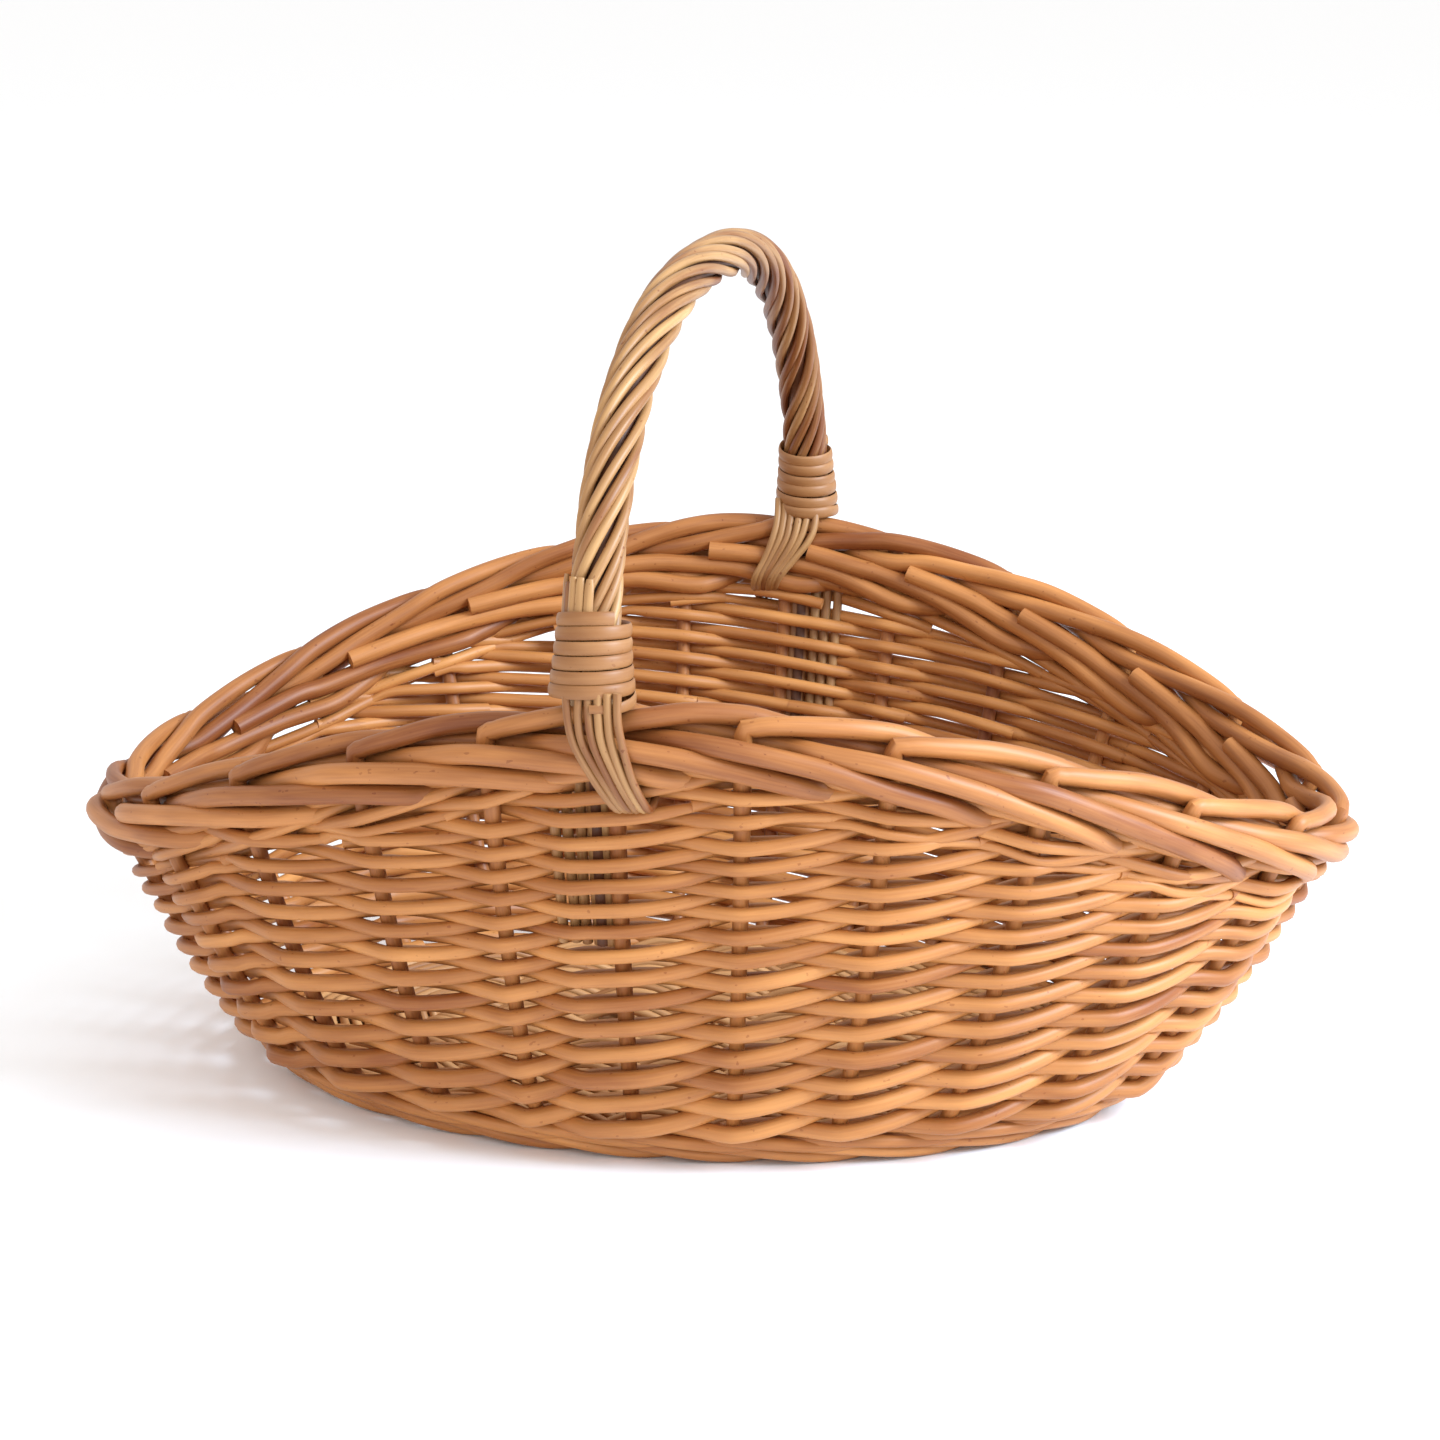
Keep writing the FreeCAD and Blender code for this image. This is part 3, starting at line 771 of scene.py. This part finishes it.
def make_anchor_rods(side, beside, outer_drop, inner_drop):
    """Thin rods from under a binding, over the border, sweeping aside and under it, and back in.

    The drops are how far below the border's top they go, outside it and inside.
    """
    place = leg_place(beside)
    step = bays_per_mm(beside, HANDLE_SPRING)
    out = BORDER_OUT + ANCHOR_R + 0.3
    for number in range(ANCHOR_RODS):
        aside = ANCHOR_ASIDE + (number - (ANCHOR_RODS - 1) / 2) * ANCHOR_PITCH
        sweep = ANCHOR_SWEEP * (1.15 - 0.09 * number)  # each a little less than the one before
        # Share of the sweep, share of the way out, and millimetres below the border's top.
        route = (
            (0.00, 0.76, -11.0),
            (0.02, 0.93, -2.0),
            (0.14, 1.00, 0.22 * outer_drop),
            (0.50, 1.00, 0.62 * outer_drop),
            (0.86, 0.88, 0.92 * outer_drop),
            (1.00, 0.45, outer_drop),
            (1.00, -0.50, inner_drop + 2.0),
            (0.88, -0.96, 0.86 * inner_drop),
            (0.50, -1.02, 0.55 * inner_drop),
            (0.14, -1.02, 0.2 * inner_drop),
            (0.02, -0.93, -2.0),
            (0.00, -0.76, -11.0),
        )
        points = []
        for swept, outwards, drop in route:
            at = place + (aside + swept * sweep + chance.normal(0, 0.25)) * step
            points.append(rim_point(at, outwards * out, drop))
        replaced = [f"anchor_rods_{side}"] if number == 0 else []
        name = f"anchor_rod_{side}_{number + 1}"
        radius = ANCHOR_R * chance.uniform(0.9, 1.05)
        path = smooth_path(points, 2.0)
        add_rod(name, path, radius, ROPING_WILLOW, "roping_willow", replaced, shade=0.1)


def make_anchor_tips(side, angles):
    """Short cut ends of the anchor rods, standing up above a binding."""
    steps = 8
    for number, angle in enumerate(angles, 1):
        top = BINDING_HEIGHT + chance.uniform(*TIP_HEIGHTS)
        heights = np.linspace(BINDING_HEIGHT - 6.0, top, steps)
        path, spoke = round_arch(from_foot(side, heights), angle + 0 * heights, ROPE_R + 1.0)
        radii = TIP_R * np.interp(np.arange(steps), [steps - 2, steps - 1], [1.0, 0.75])
        look = {"normals": spoke, "flatness": 0.6, "shade": -0.05}
        add_rod(f"anchor_tip_{side}_{number}", path, radii, ROPING_WILLOW, "roping_willow", **look)


def make_liner_rods(side, beside):
    """Butts of the roping rods, pushed down the wall beside the stake."""
    place = leg_place(beside)
    step = bays_per_mm(beside, HANDLE_SPRING)
    top = float(rim_height(beside)) + BORDER_RISE - SIDING_TOP_DEPTH
    heights = np.linspace(top, LINER_BOTTOM, 12)
    for number in range(LINER_RODS):
        aside = LINER_ASIDE + number * LINER_PITCH
        path = wall_point(place + aside * step, heights) + wander(len(heights), 0.2, 4)
        replaced = [f"liner_rods_{side}"] if number == 0 else []
        name = f"liner_rod_{side}_{number + 1}"
        add_rod(name, path, LINER_R, ROPING_WILLOW, "roping_willow", replaced, shade=0.1)


# ---------------------------------------------------------------- CAD pieces that stay


def plain_willow(name, dark, light):
    """Willow for the CAD's own rods, which don't say which way their grain runs."""
    material = bpy.data.materials.new(name)
    material.use_nodes = True
    nodes, links = material.node_tree.nodes, material.node_tree.links
    shader = nodes["Principled BSDF"]
    shader.inputs["Roughness"].default_value = 0.55
    place = nodes.new("ShaderNodeTexCoord")
    texture = nodes.new("ShaderNodeTexNoise")
    texture.inputs["Scale"].default_value = 160.0
    texture.inputs["Detail"].default_value = 4.0
    ramp = nodes.new("ShaderNodeValToRGB")
    ramp.color_ramp.elements[0].position = 0.3
    ramp.color_ramp.elements[0].color = (*dark, 1)
    ramp.color_ramp.elements[1].position = 0.75
    ramp.color_ramp.elements[1].color = (*light, 1)
    links.new(place.outputs["Object"], texture.inputs["Vector"])
    links.new(texture.outputs["Fac"], ramp.inputs["Fac"])
    links.new(ramp.outputs["Color"], shader.inputs["Base Color"])
    return material


def finish_cad_pieces():
    """New materials for the base's sticks and the handle's bow, which stay as they are. The bow's
    is near black: painted shade for the gaps between the roping rods.
    """
    stick_willow = plain_willow("stick_willow", *BASE_COLOURS)
    # Painted shade: the bow is coloured near black so that the gaps between the roping rods read
    # as shadow.
    bow_willow = plain_willow("bow_willow", (0.07, 0.02, 0.006), (0.15, 0.05, 0.015))
    for node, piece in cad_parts.items():
        if node.startswith("base_long") or node.startswith("base_cross"):
            material = stick_willow
        elif node == "handle_bow":
            material = bow_willow
        else:
            continue
        for material_slot in piece.material_slots:
            material_slot.material = material


# ---------------------------------------------------------------- studio


def add_light(name, where, aim, size, watts, colour):
    """A square lamp at one point, turned towards another; both are in metres."""
    lamp = bpy.data.lights.new(name, "AREA")
    lamp.size = size
    lamp.energy = watts
    lamp.color = colour
    holder = bpy.data.objects.new(name, lamp)
    holder.location = where
    holder.rotation_euler = (Vector(aim) - Vector(where)).to_track_quat("-Z", "Y").to_euler()
    bpy.context.scene.collection.objects.link(holder)


def make_studio():
    """A white floor and sky, a warm fill from the front and a cooler lamp from the right."""
    bpy.ops.mesh.primitive_plane_add(size=60.0, location=(0, 0, cad_box[0].z))
    floor = bpy.context.object
    floor.name = "floor"
    paper = bpy.data.materials.new("floor_paper")
    paper.use_nodes = True
    paper_shader = paper.node_tree.nodes["Principled BSDF"]
    paper_shader.inputs["Base Color"].default_value = (0.98, 0.98, 0.98, 1)
    paper_shader.inputs["Roughness"].default_value = 0.9
    floor.data.materials.append(paper)

    world = bpy.data.worlds.new("studio")
    bpy.context.scene.world = world
    world.use_nodes = True
    background = world.node_tree.nodes["Background"]
    background.inputs["Color"].default_value = (1.0, 0.995, 0.99, 1)
    background.inputs["Strength"].default_value = 1.0
    cool = (0.79, 0.98, 1.2)
    warm = (1.0, 0.97, 0.94)
    add_light("key_light", (1.3, -0.35, 0.95), (0, 0, 0.08), size=0.8, watts=44, colour=cool)
    add_light("front_light", (-0.4, -2.0, 1.1), (0, 0, 0.12), size=1.4, watts=8, colour=warm)
    bpy.context.scene.view_settings.view_transform = "Standard"


def make_camera():
    """The photograph's view, a little from the right and from above."""
    azimuth = math.radians(CAMERA_AZIMUTH)
    elevation = math.radians(CAMERA_ELEVATION)
    level = math.cos(elevation)
    away = Vector((math.sin(azimuth) * level, -math.cos(azimuth) * level, math.sin(elevation)))
    data = bpy.data.cameras.new("camera")
    data.lens = CAMERA_LENS_MM
    data.sensor_width = CAMERA_SENSOR_MM
    camera = bpy.data.objects.new("camera", data)
    camera.location = Vector(CAMERA_TARGET) + away * CAMERA_DISTANCE
    camera.rotation_euler = (-away).to_track_quat("-Z", "Y").to_euler()
    bpy.context.scene.collection.objects.link(camera)
    bpy.context.scene.camera = camera


# ---------------------------------------------------------------- the whole basket

make_camera()
make_studio()
make_base_rods()
make_stakes()
make_siding()
make_packing()
make_foot_wale()
make_roping()
make_binding("front", radius=12.0, flare=2.6)
make_binding("back", radius=10.4, flare=2.6)
make_anchor_rods("front", FRONT_STAKE, outer_drop=33.0, inner_drop=27.0)
make_anchor_rods("back", BACK_STAKE, outer_drop=33.0, inner_drop=25.0)
make_anchor_tips("front", angles=(-1.25, -0.92, -0.6, -0.28, 0.05))
make_anchor_tips("back", angles=(-0.6, -0.25, 0.1))
make_liner_rods("front", FRONT_STAKE)
make_liner_rods("back", BACK_STAKE)
finish_cad_pieces()
